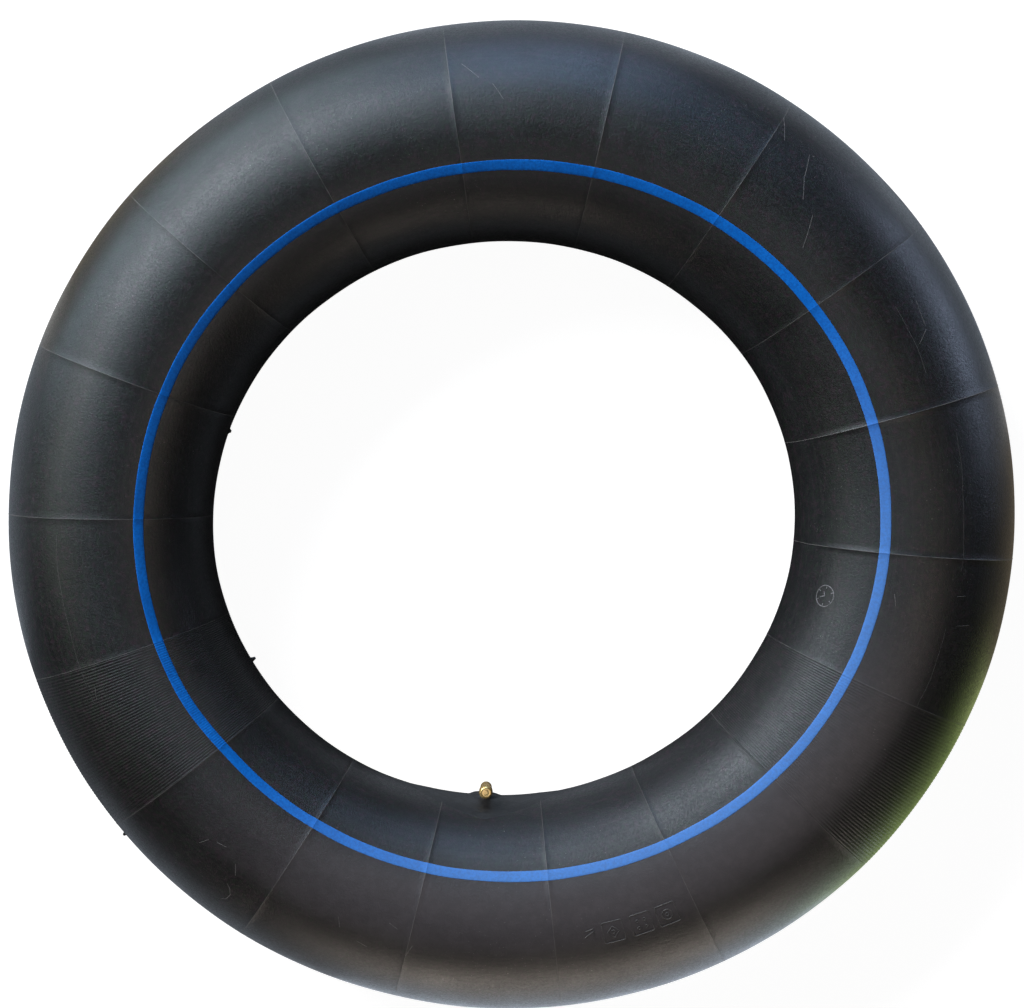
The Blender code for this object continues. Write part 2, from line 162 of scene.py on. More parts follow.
# Scratches: turn and section angle, then points in millimetres along and across the ring.
SCRATCH_WIDTH = 0.00035
SCRATCH_HEIGHT = 0.00004
SCRATCHES = (
    (-121.7, 51.0, (-6.0, 8.0), (-2.0, 5.0), (0.5, 0.5), (0.0, -5.0), (-3.0, -9.0)),
    (-101.0, 79.0, (-3.0, 1.0), (4.0, -2.0)),
    (-98.0, 66.0, (-2.0, -4.0), (1.0, 5.0)),
    (-104.0, 62.0, (-5.0, 2.0), (3.0, 0.0)),
    (-108.0, 72.0, (-2.0, 3.0), (2.0, -5.0)),
    (32.5, 60.0, (-9.0, 1.0), (0.0, 0.0), (9.0, -1.5)),
    (30.0, 66.0, (-5.0, 3.0), (2.0, -6.0)),
    (-6.0, 96.0, (-4.0, -1.0), (4.0, 1.5)),
    (-7.5, 56.0, (-1.5, 5.0), (0.5, -5.0)),
    (-4.0, 61.0, (-0.5, 4.0), (0.5, -3.0)),
    (-152.3, 68.0, (-5.0, 2.0), (4.0, -1.0)),
    (-123.0, 68.0, (-3.0, 4.0), (2.0, -4.0)),
    (-126.5, 74.0, (-4.0, 0.0), (3.0, 2.0)),
    (-128.5, 69.0, (-2.0, -3.0), (1.0, 4.0)),
    (55.0, 62.0, (-9.0, 14.0), (0.0, 2.0), (7.0, -16.0)),
    (50.0, 84.0, (-6.0, 9.0), (5.0, -11.0)),
    (60.5, 44.0, (-4.0, 10.0), (5.0, -9.0)),
    (101.0, 60.0, (-8.0, 5.0), (3.0, -7.0)),
    (97.0, 71.0, (-3.0, 7.0), (4.0, -4.0)),
)

# Long rubs: turn and section angle of the middle, and length in millimetres.
LONG_RUBS = ((8.0, 64.0, 95.0), (-14.0, 66.0, 60.0), (-162.0, 65.0, 120.0), (30.0, 71.0, 50.0))
RUB_SWAY, RUB_SWAY_LENGTH = 0.5, 13.0
RUB_SHIVER, RUB_SHIVER_LENGTH = 0.2, 4.7

# Vent nubs left by the mould: turn, section angle, length.
VENT_NUBS = ((-145.75, 186.0, 0.0032), (-135.3, 2.0, 0.0025), (168.4, 184.0, 0.0015))
NUB_RADIUS = 0.0011
NUB_PROFILE = (
    # shares of the radius and the length
    (2.5, -0.15), (1.8, 0.05), (1.3, 0.3), (1.0, 0.7), (0.75, 0.95), (0.2, 1.0),
)

# The valve's pad. Sizes that aren't named here or below come from the boxes of the CAD nodes.
VALVE_TURN = -90.0
PAD_HALF_LENGTH = 0.0600
PAD_HALF_WIDTH = 0.0390
PAD_SHARPNESS = 1.2
PAD_SIDES = 128
PAD_EDGE = 0.0004
PAD_SLOPE = 0.03
PAD_BORE = 0.0046
PAD_BOSS_TOP = 0.0029
PAD_BOSS_RADIUS = 0.0076
PAD_BOSS_FOOT = 0.0125
PAD_FEATHER_SHARE = 1 / 3
PAD_RIPPLE = 0.00002
PAD_RIPPLES = 9
PAD_BORE_DIP = 0.0004

# The stem: its thread, elbow, foot and inside, with depths below the tip.
BEVEL = 0.0002
STEM_RADIUS = 0.0040
STEM_BORE = 0.0017
THREAD_RADIUS = 0.00385
THREAD_DEPTH = 0.00035
THREAD_PITCH = 0.00079375
THREAD_LENGTH = 0.0125
GROOVE_FLAT = 1.2
GROOVE_FLANK = 3.4
ELBOW_RADIUS = 0.0053
FOOT_RADIUS = 0.0070
FOOT_THICKNESS = 0.0012
FOOT_STANDOFF = 0.0005
CHAMBER_RADIUS = 0.0028
CHAMBER_DEPTH = 0.0070
SEAT_RADIUS = 0.0023
SEAT_DEPTH = 0.0098
LOWER_DEPTH = 0.0215

# The valve core.
PIN_RADIUS = 0.00055
PIN_HEAD_RADIUS = 0.00075
SLEEVE_COLLAR = 0.0007
SLEEVE_BORE = 0.00125
SLEEVE_END = 0.0005
SEAL_BORE = 0.00195
SEAL_TAPER = 0.00025
CUP_WALL = 0.0002
CUP_FLOOR = 0.0006
SPRING_WIRE = 0.00012
SPRING_TURNS = 7
PLUG_PITCH = 0.000706
PLUG_THREAD_DEPTH = 0.0002
PLUG_THREAD_FADE = 0.0005
PLUG_BRIDGE_DEPTH = 0.0018
PLUG_BRIDGE_HALF_WIDTH = 0.0010
PLUG_BORE = 0.0015
PLUG_HOLE = 0.00095
PLUG_HOLE_DEPTH = 0.0015

# The cap, and the gap that is left between pieces.
CAP_FLUTES = 36
FLUTE_DEPTH = 0.00022
CAP_BORE = 0.0041
CAP_CEILING = 0.0008
CAP_NECK_STEP = 0.0004
GAP = 0.0003

# Materials that several pieces share.
GRAIN_SCALE = 620.0
BRASS_METALLIC = 0.75

# The camera stands as the photographer did: almost straight above, turned a little about the view.
IMAGE_WIDTH = 1024
CAMERA_ROLL = 5.35
CAMERA_TILT = 3.0
CAMERA_DISTANCE = 2.5
CAMERA_AIM = (0.00042, 0.00922)
METRES_PER_PIXEL = 0.0007
SENSOR_WIDTH = 36.0

# Soft boxes: name, turn and rise in degrees, distance, width, height, brightness, colour.
SOFT_BOXES = (
    ("key", 138.0, 33.0, 2.2, 1.8, 1.0, 9.6, (0.81, 0.90, 1.0)),
    ("key_upper", 135.0, 58.0, 2.2, 1.7, 0.7, 3.0, (0.68, 0.89, 1.0)),
    ("side", 92.0, 25.0, 2.2, 0.8, 1.2, 6.0, (0.40, 0.64, 1.0)),
    ("left", 182.0, 30.0, 2.2, 0.9, 0.9, 2.0, (0.91, 1.0, 0.84)),
    ("low_back", 140.0, 2.0, 1.1, 1.3, 0.2, 7.0, (0.68, 0.90, 1.0)),
    ("low_side", 90.0, 2.0, 1.1, 0.6, 0.2, 4.4, (0.48, 0.64, 1.0)),
    ("low_right", 30.0, 2.0, 1.1, 0.6, 0.2, 7.4, (0.60, 0.73, 1.0)),
    ("low_front", 282.0, 2.5, 1.1, 1.1, 0.3, 6.2, (1.0, 0.88, 0.76)),
    ("overhead", 306.0, 66.0, 1.0, 0.6, 0.5, 1.2, (0.92, 0.90, 1.0)),
    ("overhead_right", 345.0, 56.0, 1.1, 0.4, 0.5, 1.4, (1.0, 0.84, 0.60)),
)

# Pale cards that lie on the floor round the ring: brightness and tint, in even steps from +X.
COOL = (0.75, 0.86, 1.0)
WARM = (1.0, 0.82, 0.55)
GREEN = (0.72, 1.0, 0.30)
CARDS = (
    (0.4, WARM), (0.6, COOL), (0.8, COOL), (0.9, COOL), (0.6, COOL), (0.4, WARM),
    (0.6, COOL), (0.2, COOL), (0.6, COOL), (2.3, COOL), (2.4, COOL), (1.2, GREEN),
)
CARD_RADIUS = 0.50
CARD_SIZE = 0.30
CARD_LIFT = 0.001

# One more card lies in the ring's hole: turn, distance, size, brightness, tint.
HOLE_CARD = (275.0, 0.09, 0.14, 0.6, COOL)

# Daylight, given as the soft boxes are: it lights the surfaces but isn't reflected in them.
DAYLIGHT = ("daylight", 137.0, 32.0, 8.0, 4.4, 4.4, 15.5, (0.97, 0.97, 1.0))

# Surroundings and floor.
WORLD_STRENGTH = 0.03
FLOOR_REACH = 20.0
FLOOR_SHADE = 0.30
FLOOR_GLOW = 0.96


# Angles and the skin's shape. Functions take degrees, as numbers or arrays.


def sine(angle):
    return np.sin(np.radians(angle))


def cosine(angle):
    return np.cos(np.radians(angle))


def away(angle, middle):
    """Signed angle from middle, within half a turn."""
    return (np.asarray(angle) - middle + 180.0) % 360.0 - 180.0


def ring_radii(turn):
    """Outer and inner radius of the ring at an angle about +Z."""
    oval = cosine(2 * (turn - OVAL_TURN))
    outer = RING_OUTER + OVAL_OUTER * oval
    inner = RING_INNER + OVAL_INNER * oval - HOLE_SHIFT * cosine(turn - FAT_SIDE_TURN)
    return outer, inner


def skin_points(turn, around, height=0.0):
    """Points on the skin or above it; section angle 0 faces outwards, 90 up and 180 the hole."""
    outer, inner = ring_radii(turn)
    radius = (outer + inner) / 2 + ((outer - inner) / 2 + height) * cosine(around)
    level = (HALF_HEIGHT + height) * sine(around)
    flat = radius * cosine(turn), radius * sine(turn), level
    return np.stack(np.broadcast_arrays(*flat), axis=-1)


def mould_line_turns():
    """Turns of the mould lines."""
    even = LINE_OFFSET - np.arange(LINE_COUNT) * 360.0 / LINE_COUNT
    pull = LINE_PULL * cosine(even + LINE_PULL_TURN)
    return even - pull + LINE_SWAY * cosine(2 * even + LINE_SWAY_TURN)


LINES = mould_line_turns()


def panels():
    """Start and end turn of each panel between two mould lines, going clockwise from above."""
    return [(LINES[k], LINES[(k + 1) % LINE_COUNT]) for k in range(LINE_COUNT)]


def panel_share(turn, start, end):
    """How far across a panel a turn is, from 0 to 1, and whether it is inside."""
    share = (-away(turn, start) % 360.0) / ((start - end) % 360.0)
    return share, share < 1.0


def rib_waves(turn):
    """Wave of the ribs at a turn, from -1 to 1, and whether it is in a ribbed panel."""
    wave, ribbed = np.zeros(np.shape(turn)), np.zeros(np.shape(turn), bool)
    for first, ribs in RIBBED_PANELS:
        share, inside = panel_share(turn, *panels()[first])
        wave += np.where(inside, np.sin(share * ribs * math.tau), 0.0)
        ribbed |= inside
    return wave, ribbed


def line_share(turn, line):
    """1 on a mould line, falling to 0 at its edges."""
    return np.clip(1 - np.abs(away(turn, line)) / LINE_HALF_ANGLE, 0, 1)


def relief(turn, around):
    """Height of the real skin over the plain oval ring."""
    turn, around = np.broadcast_arrays(np.asarray(turn, float), np.asarray(around, float))
    height = np.zeros(turn.shape)
    for size, along, across, phase in WAVES:
        height += size * np.sin(np.radians(along * turn + across * around) + phase)
    for number, (start, end) in enumerate(panels()):
        share, inside = panel_share(turn, start, end)
        swell = PANEL_UNEVENNESS * (math.sin(PANEL_PHASE * number) - 1)
        bulge = PANEL_BULGE * (1 + swell)
        height += np.where(inside, bulge * 4 * share * (1 - share), 0.0)
    height += RIB_HEIGHT * rib_waves(turn)[0]
    for number, line in enumerate(LINES):
        ridge = LINE_HEIGHT * (STRONG_LINE if number in STRONG_LINES else 1.0)
        height += ridge * line_share(turn, line)
    return height


def crest_wear(turn):
    """How worn and dusty the skin's raised lines are at a turn, from 0 to 1."""
    wave, ribbed = rib_waves(turn)
    wear = np.where(ribbed, RIB_WEAR * (0.5 + 0.5 * wave), 0.0)
    for number, line in enumerate(LINES):
        most = 1.0 if number in STRONG_LINES else LINE_WEAR
        wear = np.maximum(wear, most * line_share(turn, line))
    return wear


def stripe_around(turn):
    """Section angle of the stripe's middle line."""
    drift = STRIPE_DRIFT * cosine(turn - STRIPE_DRIFT_TURN)
    sway = STRIPE_SWAY * cosine(2 * turn)
    past_kink = away(turn, STRIPE_KINK_TURN)
    fade = np.exp(-np.abs(past_kink) / STRIPE_KINK_FADE)
    kink = STRIPE_KINK * np.tanh(past_kink / STRIPE_KINK_LENGTH) * fade
    return STRIPE_AROUND - drift - sway + kink


def column_turns():
    """Turns of the skin's columns: even steps, some to each rib, and five over each mould line."""
    turns = []
    for number, (start, end) in enumerate(panels()):
        width = (start - end) % 360.0
        ribs = dict(RIBBED_PANELS).get(number)
        steps = STEPS_PER_RIB * ribs if ribs else round(width / COLUMN_STEP)
        past = np.arange(steps + 1) / steps * width
        turns += [start + share * LINE_HALF_ANGLE for share in (1, 0.5, 0, -0.5, -1)]
        turns += [start - step for step in past if LINE_CLEARANCE < step < width - LINE_CLEARANCE]
    return np.array(turns)


# Mesh helpers


def make_piece(name, points, faces, paint, body, slot, nodes=(), sharp=40.0):
    """A finished mesh that rides on a body and stands for CAD nodes."""
    mesh = bpy.data.meshes.new(name)
    mesh.from_pydata(np.asarray(points).reshape(-1, 3).tolist(), [], faces)
    mesh.validate()
    mesh.shade_smooth()
    mesh.set_sharp_from_angle(angle=math.radians(sharp))
    mesh.materials.append(paint)
    piece = bpy.data.objects.new(name, mesh)
    bpy.context.scene.collection.objects.link(piece)
    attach(piece, body)
    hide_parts(*nodes)
    return piece


def grid_faces(columns, rows, closed_columns=True, first=0, flip=False):
    """Faces of a grid whose rows close on themselves; end columns are capped if left open."""
    faces = []
    for column in range(columns if closed_columns else columns - 1):
        here = first + column * rows
        there = first + (column + 1) % columns * rows
        for row in range(rows):
            after = (row + 1) % rows
            faces.append((here + row, here + after, there + after, there + row))
    if not closed_columns:
        faces.append(tuple(first + row for row in reversed(range(rows))))
        faces.append(tuple(first + (columns - 1) * rows + row for row in range(rows)))
    return [face[::-1] for face in faces] if flip else faces


def signed_volume(points, faces):
    """Six times the volume inside the faces, positive if they point out."""
    total = 0.0
    for face in faces:
        origin = points[face[0]]
        for left, right in zip(face[1:], face[2:]):
            total += float(np.dot(origin, np.cross(points[left], points[right])))
    return total


def solid_grid(rings, closed_columns=True):
    """Points and outward faces of a solid through a run of rings."""
    rings = np.asarray(rings, float)
    columns, rows = rings.shape[:2]
    points = rings.reshape(-1, 3)
    faces = grid_faces(columns, rows, closed_columns)
    if signed_volume(points - points.mean(0), faces) < 0:
        faces = [face[::-1] for face in faces]
    return points, faces


def joined(solids):
    """Points and faces of several solids as one mesh."""
    points, faces, first = [], [], 0
    for solid_points, solid_faces in solids:
        points.append(solid_points)
        faces += [tuple(first + index for index in face) for face in solid_faces]
        first += len(solid_points)
    return np.concatenate(points), faces


# Skin and stripe


def make_skin(paint):
    """The hollow ring: its outer skin with all its relief, and the inside of its wall."""
    turns = column_turns()
    arounds = np.arange(ROW_COUNT) * 360.0 / ROW_COUNT
    turn, around = turns[:, None], arounds[None, :]
    skin = skin_points(turn, around, relief(turn, around))
    # The ring lies on the floor: what would sink below it is flattened.
    skin[..., 2] = np.maximum(skin[..., 2], CAD_BOX[0].z)
    wall_turn = -np.arange(WALL_COLUMNS)[:, None] * 360.0 / WALL_COLUMNS
    wall_around = np.arange(WALL_ROWS)[None, :] * 360.0 / WALL_ROWS
    wall = skin_points(wall_turn, wall_around, -WALL)
    faces = grid_faces(len(turns), ROW_COUNT, flip=True)
    faces += grid_faces(WALL_COLUMNS, WALL_ROWS, first=skin[..., 0].size)
    points = np.concatenate([skin.reshape(-1, 3), wall.reshape(-1, 3)])
    piece = make_piece("tube_skin", points, faces, paint, "tube", "tube_body", ["tube_body"])
    worn = np.zeros(len(points))
    worn[: skin[..., 0].size] = np.repeat(crest_wear(turns), ROW_COUNT)
    piece.data.attributes.new("worn", "FLOAT", "POINT").data.foreach_set("value", worn)


def waver(turn, phase):
    """A slow unevenness between -1 and 1 along the ring."""
    waves = ((11, 0.4), (23, 0.35), (41, 0.25))
    return sum(size * np.sin(np.radians(count * turn) + phase * count) for count, size in waves)


def make_stripe(paint):
    """The coloured band: a thin strip cured into the skin, standing a little proud of it."""
    turn = column_turns()[:, None]
    across, rise = np.array(STRIPE_SECTION, float).T[:, None, :]
    rise = rise * STRIPE_RISE
    rise[0, -2:] = -STRIPE_DEPTH
    edge = np.where(across > 0, waver(turn, 1.0), waver(turn, 2.0)) * STRIPE_EDGE_WAVER
    half_width = STRIPE_WIDTH / 2 + edge
    around = stripe_around(turn) + np.degrees(across * half_width / HALF_HEIGHT)
    rings = skin_points(turn, around, relief(turn, around) + rise)
    points, faces = solid_grid(rings)
    make_piece("stripe_band", points, faces, paint, "tube", "colour_stripe", ["colour_stripe"])


# Moulded marks


def ridge_rings(path, closed, width, height):
    """Rings of a low half-round ridge along a flat path, as (x, y, height) arrays."""
    path = np.asarray(path, float)
    longer = np.pad(path, ((1, 1), (0, 0)), mode="wrap" if closed else "edge")
    heading = longer[2:] - longer[:-2]
    heading /= np.linalg.norm(heading, axis=1)[:, None]
    side = np.stack([-heading[:, 1], heading[:, 0]], axis=1)
    spread, rise = np.array(RIDGE_SECTION).T * [[width / 2], [height]]
    flat = path[:, None, :] + side[:, None, :] * spread[None, :, None]
    level = np.broadcast_to(rise[None, :, None], flat.shape[:2] + (1,))
    return np.concatenate([flat, level], axis=2)


def on_skin(local, place):
    """Points of the skin for local (along the ring, around the section, height) points."""
    middle_turn, middle_around = place
    outer, inner = ring_radii(middle_turn)
    reach = (outer + inner) / 2 + (outer - inner) / 2 * cosine(middle_around)
    turn = middle_turn + np.degrees(local[..., 0] / reach)
    around = middle_around + np.degrees(local[..., 1] / HALF_HEIGHT)
    return skin_points(turn, around, relief(turn, around) + local[..., 2])


def arc(radius, start, end, steps, middle=(0.0, 0.0)):
    """Points of an arc, with angles in degrees."""
    angles = np.radians(np.linspace(start, end, steps))
    return np.stack([middle[0] + radius * np.cos(angles), middle[1] + radius * np.sin(angles)], axis=1)


def rounded_frame(width, height, corner):
    """Outline of a rectangle with round corners."""
    corners = ((1, 1, 0), (-1, 1, 90), (-1, -1, 180), (1, -1, 270))
    parts = []
    for across, up, start in corners:
        middle = (across * (width / 2 - corner), up * (height / 2 - corner))
        parts.append(arc(corner, start, start + 90, 5, middle))
    return np.concatenate(parts)


def segment(start, end, steps=6):
    """Points of a straight run."""
    share = np.linspace(0, 1, steps)[:, None]
    return np.array(start)[None, :] * (1 - share) + np.array(end)[None, :] * share


def mark_piece(name, paint, marks, width=RIDGE_WIDTH, height=RIDGE_HEIGHT):
    """One piece from several ridges, each a path, whether it is closed, and its place."""
    solids = []
    for path, closed, place in marks:
        rings = on_skin(ridge_rings(path, closed, width, height), place)
        solids.append(solid_grid(rings, closed))
    make_piece(name, *joined(solids), paint, "tube", "tube_body")


def make_square_marks(paint):
    """Square frames in a row around a plain lozenge, four pips and a ring, and three strokes."""
    square = rounded_frame(*SQUARE_SIZE, SQUARE_CORNER)
    lozenge = arc(LOZENGE_REACH, 90, 360, 4)
    reaches = (-PIP_REACH, PIP_REACH)
    pips = [arc(PIP_RADIUS, 0, 300, 6, (x, y)) for x in reaches for y in reaches]
    ring, dot = arc(RING_RADIUS, 0, 345, 24), arc(DOT_RADIUS, 0, 315, 8)
    marks = []
    for turn, shapes in zip(SQUARE_TURNS, ([lozenge, dot], pips, [ring, dot])):
        marks += [(shape, True, (turn, SQUARE_AROUND)) for shape in (square, *shapes)]
    marks += [(segment(*stroke), False, STROKE_PLACE) for stroke in STROKES]
    mark_piece("square_marks", paint, marks)


def make_round_mark(paint):
    """A round stamp with plain ticks and two hands, like a dial."""
    place = ROUND_MARK_PLACE
    marks = [(arc(ROUND_MARK_RADIUS, 0, 352, 45), True, place)]
    for angle in range(0, 360, 60):
        ends = [(cosine(angle) * reach, sine(angle) * reach) for reach in TICK_REACH]
        marks.append((segment(*ends), False, place))
    marks += [(segment((0.0, 0.0), tip), False, place) for tip in HAND_TIPS]
    mark_piece("round_mark", paint, marks)


def make_scratches(paint):
    """Fine pale hairlines where the skin was scratched."""
    marks = []
    for turn, around, *path in SCRATCHES:
        parts = [segment(start, end) for start, end in zip(path, path[1:])]
        line = np.concatenate(parts[:1] + [part[1:] for part in parts[1:]])
        marks.append((line / 1000, False, (turn, around)))
    mark_piece("scratches", paint, marks, SCRATCH_WIDTH, SCRATCH_HEIGHT)


def make_rubs(paint):
    """Long faint lines along the ring where another tube or a rim rubbed the skin."""
    marks = []
    for turn, around, length in LONG_RUBS:
        steps = np.linspace(-length / 2, length / 2, 40)
        sway = RUB_SWAY * np.sin(steps / RUB_SWAY_LENGTH + turn)
        sway += RUB_SHIVER * np.sin(steps / RUB_SHIVER_LENGTH)
        marks.append((np.stack([steps, sway], axis=1) / 1000, False, (turn, around)))
    mark_piece("rubs", paint, marks, SCRATCH_WIDTH, SCRATCH_HEIGHT)


def make_vent_nubs(paint):
    """Short rubber pips where the mould was vented."""
    solids = []
    for turn, around, length in VENT_NUBS:
        root = skin_points(turn, around)
        axis = skin_points(turn, around, 1.0) - root
        axis /= np.linalg.norm(axis)
        side = np.cross(axis, (0.0, 0.0, 1.0))
        side /= np.linalg.norm(side)
        other = np.cross(axis, side)
        ring = np.array([side * cosine(a) + other * sine(a) for a in range(0, 360, 30)])
        along, across = axis * length, ring * NUB_RADIUS
        rings = [root + along * level + across * radius for radius, level in NUB_PROFILE]
        solids.append(solid_grid(rings, closed_columns=False))
    make_piece("vent_nubs", *joined(solids), paint, "tube", "tube_body")


# Valve: pad and stem


def valve_wall_y():
    """Where the skin crosses the valve's foot axis."""
    return skin_points(VALVE_TURN, 180.0)[1]


def pad_ring(reach, height, flat=0.0):
    """Ring about the foot's axis: over the skin, or level with the foot where flat is 1."""
    wall_radius = -valve_wall_y()
    angles = np.arange(PAD_SIDES) * 360.0 / PAD_SIDES
    across, up = reach * cosine(angles), reach * sine(angles)
    turn = VALVE_TURN + np.degrees(across / wall_radius)
    around = 180.0 - np.degrees(up / HALF_HEIGHT)
    bumps = relief(turn, around) * np.minimum(1.0, reach / PAD_BOSS_FOOT)
    follow = skin_points(turn, around, bumps + height)
    level = np.stack([across, height - wall_radius + np.zeros(PAD_SIDES), up], axis=1)
    return follow * (1 - flat) + level * flat


def pad_edge():
    """Reach of the pad's edge at each angle about the foot's axis."""
    angles = np.arange(PAD_SIDES) * 360.0 / PAD_SIDES
    along = np.abs(cosine(angles) / PAD_HALF_LENGTH) ** PAD_SHARPNESS
    up = np.abs(sine(angles) / PAD_HALF_WIDTH) ** PAD_SHARPNESS
    return (along + up) ** (-1 / PAD_SHARPNESS)


def make_pad(paint):
    """Feathered lozenge with fine moulded rings, and a smooth boss around the stem's foot."""
    edge = pad_edge()
    underside = edge + PAD_EDGE - PAD_BORE
    rings = [pad_ring(PAD_BORE + underside * share, -GAP) for share in np.linspace(0, 1, 12)]
    for share in np.linspace(1, 0, 44):
        reach = PAD_BOSS_FOOT + (edge - PAD_BOSS_FOOT) * share
        feather = 0.5 - 0.5 * math.cos(math.pi * min(1.0, (1 - share) / PAD_FEATHER_SHARE))
        ripple = PAD_RIPPLE * math.sin(share * math.tau * PAD_RIPPLES) * feather
        rings.append(pad_ring(reach, PAD_EDGE * feather + PAD_SLOPE * (edge - reach) + ripple))
    foot_height = PAD_EDGE + PAD_SLOPE * (edge - PAD_BOSS_FOOT)
    for share in np.linspace(0, 1, 12)[1:]:
        ease = share * share * (3 - 2 * share)
        radius = PAD_BOSS_FOOT + (PAD_BOSS_RADIUS - PAD_BOSS_FOOT) * share
        rings.append(pad_ring(radius, foot_height + (PAD_BOSS_TOP - foot_height) * ease, ease))
    for share in np.linspace(0, 1, 6)[1:]:
        radius = PAD_BOSS_RADIUS + (PAD_BORE - PAD_BOSS_RADIUS) * share
        rings.append(pad_ring(radius, PAD_BOSS_TOP - PAD_BORE_DIP * share * share, 1.0))
    points, faces = solid_grid(rings)
    make_piece("base_pad", points, faces, paint, "tube", "valve_base_pad", ["valve_base_pad"])


def tip_place():
    """Point on the tip's axis at the stem's end."""
    low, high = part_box("cap_gasket")
    return Vector(((low.x + high.x) / 2, (low.y + high.y) / 2, low.z - GAP))


TIP = tip_place()


def stem_ring(middle, heading, radius, sides=48):
    """Ring of the stem about a point of its middle line, square to its heading."""
    side = np.cross(heading, (1.0, 0.0, 0.0))
    angles = np.arange(sides) * 360.0 / sides
    reach = np.broadcast_to(radius, sides)
    across = np.outer(reach * cosine(angles), (1.0, 0.0, 0.0))
    return np.asarray(middle) + across + np.outer(reach * sine(angles), side)


def foot_ring(standoff, radius):
    """Ring of the stem's foot, which points from the skin at the ring's middle."""
    return stem_ring((0.0, valve_wall_y() + standoff, 0.0), (0.0, 1.0, 0.0), radius)


def leg_ring(level, radius):
    """Ring of the stem's straight leg."""
    return stem_ring((0.0, TIP.y, level), (0.0, 0.0, 1.0), radius)


def elbow_rings(radius, steps=16):
    """Rings around the bend between the foot and the leg."""
    centre = np.array((0.0, TIP.y - ELBOW_RADIUS, ELBOW_RADIUS))
    rings = []
    for bend in np.linspace(0, 90, steps + 1):
        outward = np.array((0.0, sine(bend), -cosine(bend)))
        heading = np.array((0.0, cosine(bend), sine(bend)))
        rings.append(stem_ring(centre + outward * ELBOW_RADIUS, heading, radius))
    return rings


def thread_groove(turns, fade):
    """Share of a screw thread's depth after some turns of it, less where it fades out."""
    groove = np.clip(GROOVE_FLAT - np.abs(turns % 1.0 - 0.5) * GROOVE_FLANK, 0.0, 1.0)
    return groove * min(1.0, max(0.0, fade))


def thread_rings(start, end, sides=48):
    """Rings of the stem's threaded end, eight to each turn of the thread."""
    rings = []
    for level in np.linspace(start, end, round((end - start) / THREAD_PITCH * 8) + 1):
        turns = level / THREAD_PITCH - np.arange(sides) / sides
        groove = thread_groove(turns, min(end - level, level - start) / THREAD_PITCH)
        rings.append(leg_ring(level, THREAD_RADIUS - THREAD_DEPTH * groove))
    return rings


def make_stem(paint):
    """Bent brass stem, threaded at its tip, with its chamber and bore."""
    shoulder = TIP.z - THREAD_LENGTH
    foot_top = FOOT_STANDOFF + FOOT_THICKNESS
    outside = [foot_ring(FOOT_STANDOFF, FOOT_RADIUS - BEVEL)]
    outside += [foot_ring(level, FOOT_RADIUS) for level in (FOOT_STANDOFF + BEVEL, foot_top - BEVEL)]
    outside += [foot_ring(foot_top, radius) for radius in (FOOT_RADIUS - BEVEL, STEM_RADIUS)]
    outside += elbow_rings(STEM_RADIUS)
    outside += [leg_ring(level, STEM_RADIUS) for level in (shoulder - 3 * BEVEL, shoulder - BEVEL)]
    outside += [leg_ring(shoulder, THREAD_RADIUS - THREAD_DEPTH)]
    outside += thread_rings(shoulder + BEVEL, TIP.z - 2 * BEVEL)
    outside += [leg_ring(TIP.z - BEVEL, THREAD_RADIUS - BEVEL)]
    outside += [leg_ring(TIP.z, THREAD_RADIUS - 3 * BEVEL)]
    bore = [
        leg_ring(TIP.z, CHAMBER_RADIUS + BEVEL),
        leg_ring(TIP.z - BEVEL, CHAMBER_RADIUS),
        leg_ring(TIP.z - CHAMBER_DEPTH, CHAMBER_RADIUS),
        leg_ring(TIP.z - SEAT_DEPTH, SEAT_RADIUS),
        leg_ring(TIP.z - LOWER_DEPTH, SEAT_RADIUS),
        leg_ring(TIP.z - LOWER_DEPTH - 5 * BEVEL, STEM_BORE),
    ]
    bore += elbow_rings(STEM_BORE)[::-1] + [foot_ring(FOOT_STANDOFF, STEM_BORE)]
    points, faces = solid_grid(outside + bore)
    make_piece("stem", points, faces, paint, "tube", "valve_stem", ["valve_stem"])


# Valve: turned pieces of the core, and the cap


def rounded(profile, radius=0.00008, steps=3):
    """A closed (radius, level) profile with its corners rounded."""
    out = []
    count = len(profile)
    for index, corner in enumerate(np.asarray(profile, float)):
        arms = [np.asarray(profile[(index + step) % count]) - corner for step in (-1, 1)]
        reach = min([radius] + [0.4 * float(np.linalg.norm(arm)) for arm in arms])
        start, end = (corner + arm / np.linalg.norm(arm) * reach for arm in arms)
        for share in np.linspace(0, 1, steps + 1):
            bend = start * (1 - share) ** 2 + 2 * corner * share * (1 - share) + end * share**2
            out.append(bend)
    return out


def turned_rings(profile, sides=48):
    """Rings of a turned piece on the tip's axis from (radius, depth below the tip) pairs."""
    angles = np.arange(sides) * 360.0 / sides
    rings = []
    for radius, depth in profile:
        reach = np.broadcast_to(radius, sides)
        flat = TIP.x + reach * cosine(angles), TIP.y + reach * sine(angles)
        rings.append(np.stack([*flat, np.full(sides, TIP.z - depth)], axis=1))
    return rings


def make_turned(name, node, profile, paint, body, slot, closed=True):
    """A turned piece that stands for one CAD node."""
    corners = rounded(profile) if closed else profile
    points, faces = solid_grid(turned_rings(corners), closed)
    return make_piece(name, points, faces, paint, body, slot, [node])


def depths(node):
    """Radius, upper and lower depth below the tip of a turned CAD node."""
    low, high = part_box(node)
    return (high.x - low.x) / 2, TIP.z - high.z, TIP.z - low.z


def pin_ring(node):
    """Profile of a plain ring on the pin that fills a CAD node."""
    radius, top, end = depths(node)
    return [(radius, top), (radius, end), (PIN_RADIUS, end), (PIN_RADIUS, top)]


